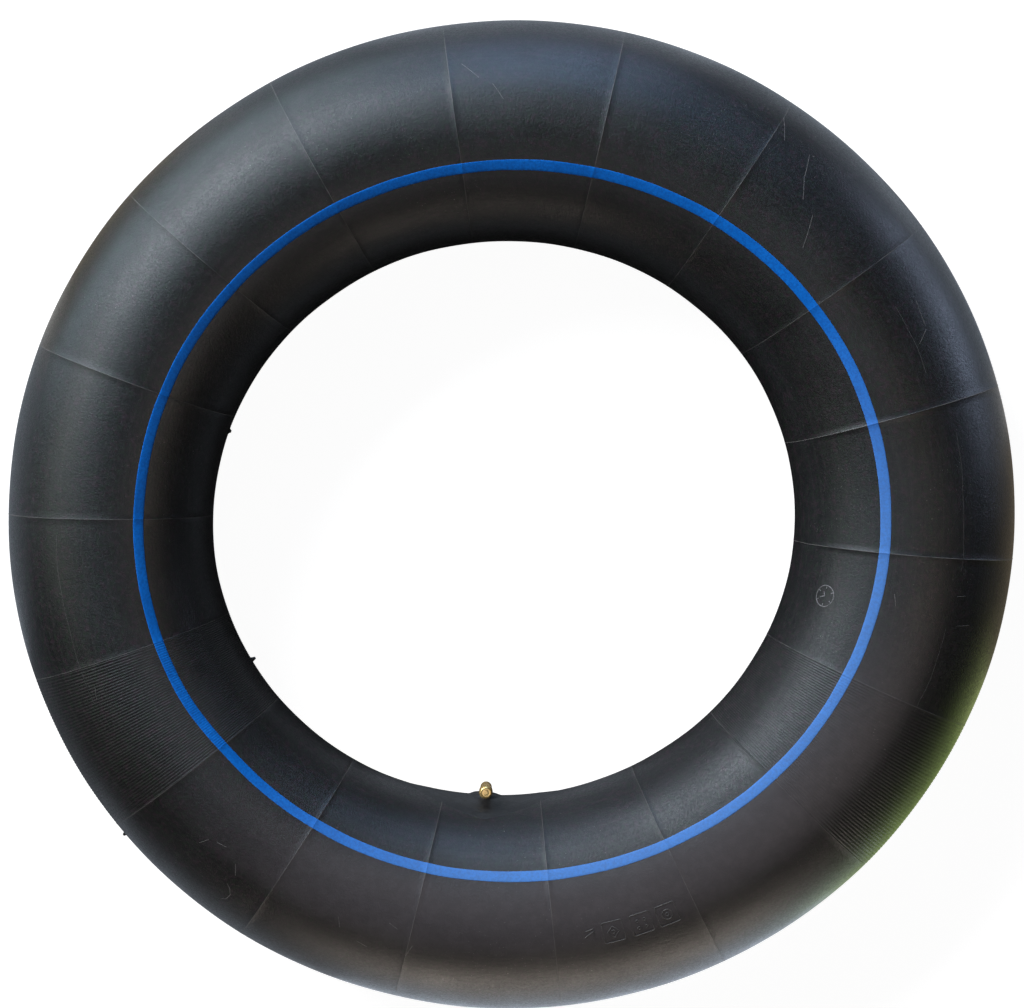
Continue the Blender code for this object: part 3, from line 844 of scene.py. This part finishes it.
def make_core(brass, red_seal, black_seal, steel):
    """The valve core's pieces, from the plug down to the cup."""
    radius, top, end = depths("core_barrel")
    make_turned("core_sleeve", "core_barrel", [
        (radius, top), (radius, top + SLEEVE_COLLAR), (radius - GAP, top + SLEEVE_COLLAR),
        (radius - GAP, end), (PIN_RADIUS + GAP, end), (PIN_RADIUS + GAP, end - SLEEVE_END),
        (SLEEVE_BORE, end - SLEEVE_END), (SLEEVE_BORE, top),
    ], brass, "tube", "core_brass")
    radius, top, end = depths("core_barrel_seal")
    make_turned("core_sleeve_seal", "core_barrel_seal", [
        (radius, top), (radius - SEAL_TAPER, end), (SEAL_BORE, end), (SEAL_BORE, top),
    ], red_seal, "tube", "core_barrel_seal")
    collar = pin_ring("core_spring_seat")
    make_turned("core_pin_collar", "core_spring_seat", collar, brass, "plunger", "core_brass")
    radius, top, end = depths("core_cup")
    make_turned("core_pin_cup", "core_cup", [
        (radius, top), (radius, end), (PIN_RADIUS, end), (PIN_RADIUS, end - CUP_FLOOR),
        (radius - CUP_WALL, end - CUP_FLOOR), (radius - CUP_WALL, top),
    ], brass, "plunger", "core_brass")
    seal = pin_ring("core_cup_seal")
    make_turned("core_pin_seal", "core_cup_seal", seal, black_seal, "plunger", "seal_rubber")
    radius, top, end = depths("core_pin")
    head = PIN_HEAD_RADIUS
    make_turned("core_pin_rod", "core_pin", [
        (0.0002, top), (head * 0.7, top + 0.00003), (head * 0.95, top + 0.00015),
        (head, top + 0.0003), (head * 0.95, top + 0.0005), (PIN_RADIUS, top + 0.0006),
        (PIN_RADIUS, end - 0.0007), (radius, end - 0.0006), (radius, end - 0.0001),
        (radius - 0.0001, end), (0.0002, end),
    ], brass, "plunger", "core_brass", closed=False)
    make_core_spring(steel)
    make_core_plug(brass)


def make_core_spring(steel):
    """Coil spring, which stays with the tube's body when the pin goes down."""
    low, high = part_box("core_spring")
    wire, steps, sides = SPRING_WIRE, 28, 10
    coil = (high.x - low.x) / 2 - wire
    around = np.arange(sides)[:, None] * 360.0 / sides
    up = np.array((0.0, 0.0, 1.0))
    rings = []
    for step in range(SPRING_TURNS * steps + 1):
        angle = 360.0 * step / steps
        outward = np.array((cosine(angle), sine(angle), 0.0))
        level = high.z - wire - (high.z - low.z - 2 * wire) * step / (SPRING_TURNS * steps)
        middle = np.array((TIP.x, TIP.y, level)) + outward * coil
        rings.append(middle + wire * (cosine(around) * outward + sine(around) * up))
    points, faces = solid_grid(rings, closed_columns=False)
    spring = make_piece("core_coil", points, faces, steel, "tube", "core_spring", ["core_spring"])
    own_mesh(spring)


def make_core_plug(brass):
    """Threaded plug; its top is cut away on two sides, which leaves the bridge for a key."""
    radius, top, end = depths("core_plug")
    bridge_foot = top + PLUG_BRIDGE_DEPTH
    hole_end = top + PLUG_HOLE_DEPTH
    sides = 64
    shares = np.arange(sides) / sides
    narrow = np.maximum(np.abs(cosine(shares * 360.0)), 0.01)
    bridge = np.minimum(radius, PLUG_BRIDGE_HALF_WIDTH / narrow)
    outside = [
        (np.minimum(bridge, radius - 0.00015), top), (bridge, top + 0.00012), (bridge, bridge_foot),
    ]
    for depth in np.linspace(bridge_foot, end, 60):
        fade = min(depth - bridge_foot, end - depth) / PLUG_THREAD_FADE
        groove = thread_groove(depth / PLUG_PITCH + shares, fade)
        outside.append((radius - PLUG_THREAD_DEPTH * groove, depth))
    inside = [
        (PLUG_BORE, end), (PLUG_BORE, hole_end), (PLUG_HOLE, hole_end),
        (PLUG_HOLE, top + 0.0001), (PLUG_HOLE + 0.00005, top),
    ]
    points, faces = solid_grid(turned_rings(outside + inside, sides))
    make_piece("core_key_plug", points, faces, brass, "tube", "core_brass", ["core_plug"])


def make_cap(brass, rubber):
    """Knurled cap with a stepped, slightly domed top, and the gasket inside it."""
    radius, top, end = depths("cap_shell")
    sides = 8 * CAP_FLUTES
    angles = np.arange(sides) * 360.0 / sides
    flute = FLUTE_DEPTH * (0.5 - 0.5 * cosine(CAP_FLUTES * angles)) ** 0.7
    neck, bore, ceiling = radius - CAP_NECK_STEP, CAP_BORE, top + CAP_CEILING
    shell = [
        # inside, down to the mouth
        (0.0002, ceiling), (bore - 0.0002, ceiling), (bore, ceiling + 0.0002), (bore, end - 0.0003),
        (bore + 0.0002, end), (neck - 0.0001, end), (neck, end - 0.0001),
        # flutes, upwards
        (radius - 0.0002, end - 0.0003), (radius - flute * 0.5, end - 0.00045),
        (radius - flute, end - 0.0007), (radius - flute, 0.0014),
        (radius - flute * 0.5, 0.0011), (radius - 0.0002, 0.0009),
        # neck and top
        (neck, 0.0007), (neck, 0.0003), (neck + 0.0001, 0.0001), (neck + 0.0001, -0.0008),
        (neck - 0.0001, -0.0013), (neck - 0.0006, -0.0018), (neck - 0.0012, top + 0.0001),
        (0.0022, top), (0.0018, top + 0.00012), (0.0010, top + 0.00016), (0.0002, top + 0.00016),
    ]
    points, faces = solid_grid(turned_rings(shell, sides), closed_columns=False)
    make_piece("cap_body", points, faces, brass, "cap", "cap_shell", ["cap_shell"], sharp=30.0)
    radius, top, end = depths("cap_gasket")
    disc = [
        (0.0002, top), (radius - 0.0002, top), (radius, top + 0.0001), (radius, end - 0.0001),
        (radius - 0.0002, end), (0.0030, end), (0.0028, end - 0.0001), (0.0002, end - 0.0001),
    ]
    make_turned("cap_liner", "cap_gasket", disc, rubber, "cap_seal", "seal_rubber", closed=False)


# Materials


class Paint:
    """A Principled material with short helpers for its nodes; positions are in metres."""

    def __init__(self, name, **constants):
        self.material = bpy.data.materials.new(name)
        self.material.use_nodes = True
        self.nodes = self.material.node_tree.nodes
        self.links = self.material.node_tree.links
        self.shader = self.nodes["Principled BSDF"]
        for socket, value in constants.items():
            self.shader.inputs[socket.replace("_", " ")].default_value = value
        self.place = self.nodes.new("ShaderNodeTexCoord").outputs["Object"]

    def feed(self, socket, value):
        """Links an output, or sets a plain value."""
        if isinstance(value, bpy.types.NodeSocket):
            self.links.new(value, socket)
        elif isinstance(value, tuple) and len(value) == 3 and len(socket.default_value) == 4:
            socket.default_value = (*value, 1.0)
        else:
            socket.default_value = value

    def math(self, operation, first, second=0.0, third=0.0):
        node = self.nodes.new("ShaderNodeMath")
        node.operation = operation
        for socket, value in zip(node.inputs, (first, second, third)):
            self.feed(socket, value)
        return node.outputs[0]

    def vector(self, operation, first, second=(0.0, 0.0, 0.0)):
        node = self.nodes.new("ShaderNodeVectorMath")
        node.operation = operation
        self.feed(node.inputs[0], first)
        self.feed(node.inputs[1], second)
        return node.outputs["Value" if operation in ("LENGTH", "DOT_PRODUCT") else "Vector"]

    def noise(self, scale, detail=4.0, rough=0.5, place=None):
        node = self.nodes.new("ShaderNodeTexNoise")
        node.inputs["Scale"].default_value = scale
        node.inputs["Detail"].default_value = detail
        node.inputs["Roughness"].default_value = rough
        self.links.new(place or self.place, node.inputs["Vector"])
        return node.outputs["Fac"]

    def ramp(self, value, low, high, bottom=0.0, top=1.0):
        """Maps low..high smoothly to bottom..top."""
        node = self.nodes.new("ShaderNodeMapRange")
        node.interpolation_type = "SMOOTHSTEP"
        for socket, number in zip(node.inputs, (value, low, high, bottom, top)):
            self.feed(socket, number)
        return node.outputs["Result"]

    def mix(self, share, first, second):
        node = self.nodes.new("ShaderNodeMix")
        node.data_type = "RGBA"
        self.feed(node.inputs["Factor"], share)
        self.feed(node.inputs["A"], first)
        self.feed(node.inputs["B"], second)
        return node.outputs["Result"]

    def over(self, base, share, most, colour):
        """Lays a colour over another by a share of a most."""
        return self.mix(self.math("MULTIPLY", share, most), base, colour)

    def colour(self, value):
        self.feed(self.shader.inputs["Base Color"], value)

    def roughness(self, value):
        self.feed(self.shader.inputs["Roughness"], value)

    def bump(self, height, distance, strength=1.0):
        """Adds a bump, on top of any earlier one."""
        node = self.nodes.new("ShaderNodeBump")
        node.inputs["Strength"].default_value = strength
        node.inputs["Distance"].default_value = distance
        self.links.new(height, node.inputs["Height"])
        earlier = self.shader.inputs["Normal"].links
        if earlier:
            self.links.new(earlier[0].from_socket, node.inputs["Normal"])
        self.links.new(node.outputs["Normal"], self.shader.inputs["Normal"])

    def attribute(self, name):
        node = self.nodes.new("ShaderNodeAttribute")
        node.attribute_name = name
        return node.outputs["Fac"]

    def ring_place(self, across, along):
        """Coordinates that vary quickly across the ring's section and slowly along the ring."""
        parts = self.nodes.new("ShaderNodeSeparateXYZ")
        self.links.new(self.place, parts.inputs[0])
        level = self.vector("MULTIPLY", self.place, (1.0, 1.0, 0.0))
        radius = self.vector("LENGTH", level)
        joined = self.nodes.new("ShaderNodeCombineXYZ")
        for index, (quick, slow) in enumerate(((radius, "X"), (parts.outputs["Z"], "Y"))):
            fast = self.math("MULTIPLY", quick, across)
            drift = self.math("MULTIPLY", parts.outputs[slow], along)
            self.links.new(self.math("ADD", fast, drift), joined.inputs[index])
        return joined.outputs[0]


def side_share(paint, heading, first, last):
    """Share that grows from 0 to 1 along one heading, between two distances from the origin."""
    reach = paint.vector("DOT_PRODUCT", paint.place, heading)
    return paint.ramp(reach, first, last)


def tube_rubber():
    """Black butyl rubber: coloured tones, mould streaks, a painted grey sheen on one side's top, dust,
    worn lines and a soft sheen.
    """
    paint = Paint("tube_rubber", IOR=1.5)
    tone = paint.ramp(paint.noise(7.0, 3.0), 0.35, 0.65)
    base = paint.mix(tone, (0.0080, 0.0066, 0.0064), (0.0054, 0.0060, 0.0070))
    mottle = paint.ramp(paint.noise(160.0, 6.0, 0.65), 0.35, 0.7)
    base = paint.over(base, mottle, 0.5, (0.014, 0.013, 0.013))
    grain = paint.ramp(paint.noise(GRAIN_SCALE, 3.0, 0.7), 0.38, 0.62)
    base = paint.over(base, grain, 0.6, (0.004, 0.004, 0.005))
    purple = paint.ramp(paint.noise(240.0, 4.0, 0.7), 0.5, 0.64)
    base = paint.over(base, purple, 0.65, (0.024, 0.011, 0.019))
    elsewhere = paint.vector("ADD", paint.place, (3.0, 5.0, 7.0))
    green = paint.ramp(paint.noise(310.0, 4.0, 0.7, elsewhere), 0.50, 0.64)
    base = paint.over(base, green, 0.65, (0.007, 0.016, 0.008))
    streaks = paint.noise(1.0, 3.0, 0.6, paint.ring_place(420.0, 14.0))
    streak = paint.ramp(streaks, 0.45, 0.75)
    base = paint.over(base, streak, 0.3, (0.026, 0.025, 0.024))
    # Painted sheen: grey is laid over the rubber on one side of the ring, most at the top of the
    # section, a little blotchy.
    side = side_share(paint, (0.35, -0.94, 0.0), 0.08, 0.24)
    level = side_share(paint, (0.0, 0.0, 1.0), 0.0650, 0.0734)
    level = paint.ramp(level, 0.0, 1.0, 0.10, 1.0)
    painted_sheen = paint.math("MULTIPLY", side, level)
    painted_sheen = paint.math("MULTIPLY", painted_sheen, paint.ramp(mottle, 0.0, 1.0, 0.8, 1.0))
    base = paint.mix(painted_sheen, base, (0.050, 0.044, 0.048))
    dust = paint.ramp(paint.noise(900.0, 2.0), 0.70, 0.76)
    dusty = paint.ramp(paint.noise(11.0, 4.0), 0.48, 0.66)
    base = paint.over(base, dust, dusty, (0.16, 0.155, 0.15))
    patchy = paint.ramp(paint.noise(60.0, 3.0), 0.3, 0.6, 0.3, 1.0)
    worn = paint.math("MULTIPLY", paint.attribute("worn"), patchy)
    base = paint.over(base, worn, 0.8, (0.15, 0.145, 0.14))
    paint.colour(base)
    gloss = paint.ramp(paint.noise(18.0, 5.0, 0.6), 0.3, 0.7, 0.33, 0.41)
    gloss = paint.math("ADD", gloss, paint.math("MULTIPLY", grain, 0.12))
    gloss = paint.math("ADD", gloss, paint.math("MULTIPLY", worn, 0.25))
    dry = side_share(paint, (0.60, -0.80, 0.0), 0.04, 0.22)
    gloss = paint.math("ADD", gloss, paint.math("MULTIPLY", dry, 0.06))
    paint.roughness(gloss)
    paint.bump(paint.noise(1400.0, 3.0, 0.6), 0.00006, 0.5)
    paint.bump(paint.noise(GRAIN_SCALE, 4.0, 0.7), 0.00022, 0.8)
    paint.bump(streaks, 0.00004, 0.5)
    return paint.material


def dusty_rubber(name, tone):
    """Raised or rubbed rubber that holds pale dust."""
    paint = Paint(name, IOR=1.5)
    patch = paint.ramp(paint.noise(500.0, 4.0, 0.6), 0.35, 0.65)
    paint.colour(paint.mix(patch, tuple(0.4 * part for part in tone), tone))
    paint.roughness(paint.ramp(patch, 0.0, 1.0, 0.5, 0.7))
    paint.bump(paint.noise(1600.0, 3.0), 0.00004, 0.5)
    return paint.material


def stripe_rubber():
    """Blue rubber with a faint grain, rubbed patches and a little painted sheen on one side."""
    paint = Paint("stripe_rubber", IOR=1.45, Specular_IOR_Level=0.1)
    patch = paint.ramp(paint.noise(30.0, 5.0, 0.6), 0.35, 0.7)
    base = paint.mix(patch, (0.002, 0.155, 0.64), (0.004, 0.185, 0.74))
    grain = paint.ramp(paint.noise(560.0, 4.0, 0.65), 0.38, 0.66)
    base = paint.over(base, grain, 0.55, (0.002, 0.085, 0.40))
    # Painted sheen: the stripe on one side of the ring is laid over with pale blue-grey.
    painted_sheen = side_share(paint, (0.71, -0.71, 0.0), 0.0, 0.2)
    paint.colour(paint.over(base, painted_sheen, 0.2, (0.40, 0.58, 0.66)))
    paint.roughness(paint.ramp(patch, 0.0, 1.0, 0.50, 0.60))
    paint.bump(paint.noise(1100.0, 4.0), 0.00006, 0.5)
    return paint.material


def pad_rubber():
    """The pad's rubber: a shade greyer and drier than the tube's."""
    paint = Paint("pad_rubber", IOR=1.5)
    tone = paint.ramp(paint.noise(90.0, 5.0, 0.6), 0.35, 0.7)
    base = paint.mix(tone, (0.010, 0.010, 0.011), (0.018, 0.0175, 0.017))
    grain = paint.ramp(paint.noise(GRAIN_SCALE, 3.0, 0.7), 0.38, 0.62)
    paint.colour(paint.over(base, grain, 0.6, (0.005, 0.005, 0.006)))
    paint.roughness(paint.ramp(tone, 0.0, 1.0, 0.45, 0.6))
    paint.bump(paint.noise(1600.0, 3.0), 0.00005, 0.6)
    paint.bump(paint.noise(GRAIN_SCALE, 4.0, 0.7), 0.00010, 0.7)
    return paint.material


def brass_metal(name, tarnish, rough):
    """Brass with brown tarnish in its hollows and fine turning marks."""
    paint = Paint(name, Metallic=BRASS_METALLIC)
    stain = paint.ramp(paint.noise(420.0, 6.0, 0.65), 0.42, 0.72)
    tone = paint.ramp(paint.noise(90.0, 2.0), 0.3, 0.7)
    bright = paint.mix(tone, (0.86, 0.62, 0.25), (0.74, 0.50, 0.20))
    paint.colour(paint.over(bright, stain, tarnish, (0.20, 0.11, 0.045)))
    paint.roughness(paint.ramp(stain, 0.0, 1.0, rough, rough + 0.2))
    squeezed = paint.vector("MULTIPLY", paint.place, (1.0, 1.0, 30.0))
    paint.bump(paint.noise(260.0, 3.0, 0.5, squeezed), 0.00002, 0.5)
    return paint.material


def spring_steel():
    """Bright drawn wire with faint draw marks."""
    paint = Paint("spring_steel", Metallic=1.0)
    tone = paint.ramp(paint.noise(2500.0, 3.0), 0.35, 0.7)
    paint.colour(paint.mix(tone, (0.62, 0.62, 0.64), (0.42, 0.42, 0.44)))
    paint.roughness(paint.ramp(tone, 0.0, 1.0, 0.22, 0.36))
    return paint.material


def seal_material(name, dark, light):
    """A small rubber or plastic seal."""
    paint = Paint(name)
    tone = paint.ramp(paint.noise(1500.0, 4.0), 0.35, 0.7)
    paint.colour(paint.mix(tone, dark, light))
    paint.roughness(paint.ramp(tone, 0.0, 1.0, 0.45, 0.6))
    return paint.material


# Stage


def make_floor():
    """Plain pale floor that the ring lies on."""
    mesh = bpy.data.meshes.new("floor")
    sides = ((-1, -1), (1, -1), (1, 1), (-1, 1))
    corners = [(FLOOR_REACH * x, FLOOR_REACH * y, CAD_BOX[0].z) for x, y in sides]
    mesh.from_pydata(corners, [], [(0, 1, 2, 3)])
    glow = {"Emission_Color": (1.0, 1.0, 1.0, 1.0), "Emission_Strength": FLOOR_GLOW}
    paint = Paint("floor_paint", Roughness=0.9, **glow)
    paint.colour((FLOOR_SHADE, FLOOR_SHADE, FLOOR_SHADE))
    mesh.materials.append(paint.material)
    floor = bpy.data.objects.new("floor", mesh)
    floor.visible_glossy = False
    bpy.context.scene.collection.objects.link(floor)


def camera_axes():
    """Right, up and back directions of the camera."""
    roll = Matrix.Rotation(math.radians(CAMERA_ROLL), 3, "Z")
    rise, lean = cosine(CAMERA_TILT), sine(CAMERA_TILT)
    axes = (1.0, 0.0, 0.0), (0.0, rise, -lean), (0.0, lean, rise)
    return [roll @ Vector(axis) for axis in axes]


def make_camera():
    """Camera at the photographer's viewing angle."""
    right, up, back = camera_axes()
    data = bpy.data.cameras.new("camera")
    data.sensor_width = SENSOR_WIDTH
    data.lens = SENSOR_WIDTH * CAMERA_DISTANCE / (METRES_PER_PIXEL * IMAGE_WIDTH)
    camera = bpy.data.objects.new("camera", data)
    target = right * CAMERA_AIM[0] + up * CAMERA_AIM[1]
    facing = Matrix((right, up, back)).transposed().to_4x4()
    camera.matrix_world = Matrix.Translation(target + back * CAMERA_DISTANCE) @ facing
    bpy.context.scene.collection.objects.link(camera)
    bpy.context.scene.camera = camera


def make_light(name, turn, rise, distance, width, height, level, colour):
    """Soft light aimed at the origin from a turn and rise in degrees, seen only in reflections."""
    data = bpy.data.lights.new(name, "AREA")
    data.shape = "RECTANGLE"
    data.size = width
    data.size_y = height
    data.energy = math.pi * width * height * level
    data.color = colour
    light = bpy.data.objects.new(name, data)
    back = Vector((cosine(turn) * cosine(rise), sine(turn) * cosine(rise), sine(rise)))
    light.location = back * distance
    light.rotation_mode = "QUATERNION"
    light.rotation_quaternion = back.to_track_quat("Z", "Y")
    light.visible_camera = light.visible_diffuse = False
    bpy.context.scene.collection.objects.link(light)
    return light


def make_lights():
    """Soft boxes above and beside the ring, and pale cards that lie round it."""
    for name, *numbers, colour in SOFT_BOXES:
        make_light(name, *numbers, colour)
    daylight = make_light(*DAYLIGHT)
    daylight.visible_diffuse = True
    daylight.visible_glossy = False
    step = 360.0 / len(CARDS)
    places = [(step * index, CARD_RADIUS, CARD_SIZE, *card) for index, card in enumerate(CARDS)]
    for number, (turn, distance, size, level, colour) in enumerate([*places, HOLE_CARD]):
        card = make_light(f"card_{number}", turn, 0.0, distance, size, size, level, colour)
        card.location.z = CAD_BOX[0].z + CARD_LIFT
        card.rotation_quaternion = Vector((0.0, 0.0, -1.0)).to_track_quat("Z", "Y")


def make_world():
    """Even pale surroundings, left out of reflections."""
    world = bpy.data.worlds.new("surroundings")
    world.use_nodes = True
    background = world.node_tree.nodes["Background"]
    background.inputs["Color"].default_value = (1.0, 1.0, 1.0, 1.0)
    background.inputs["Strength"].default_value = WORLD_STRENGTH
    world.cycles_visibility.glossy = False
    bpy.context.scene.world = world


def build():
    """Everything around the frame."""
    rubber = tube_rubber()
    make_skin(rubber)
    make_stripe(stripe_rubber())
    make_square_marks(dusty_rubber("mark_rubber", (0.075, 0.072, 0.070)))
    make_round_mark(dusty_rubber("round_mark_rubber", (0.20, 0.20, 0.21)))
    make_scratches(dusty_rubber("scratch_rubber", (0.14, 0.135, 0.135)))
    make_rubs(dusty_rubber("rub_rubber", (0.055, 0.052, 0.050)))
    make_vent_nubs(rubber)
    make_pad(pad_rubber())
    make_stem(brass_metal("stem_brass", 0.5, 0.26))
    core_brass = brass_metal("core_brass", 0.25, 0.2)
    red_seal = seal_material("red_seal", (0.35, 0.02, 0.015), (0.5, 0.05, 0.03))
    black_seal = seal_material("black_seal", (0.012, 0.012, 0.012), (0.03, 0.03, 0.03))
    make_core(core_brass, red_seal, black_seal, spring_steel())
    make_cap(brass_metal("cap_brass", 0.35, 0.22), black_seal)
    make_floor()
    make_camera()
    make_world()
    make_lights()


bpy.context.scene.view_settings.view_transform = "Standard"
build()
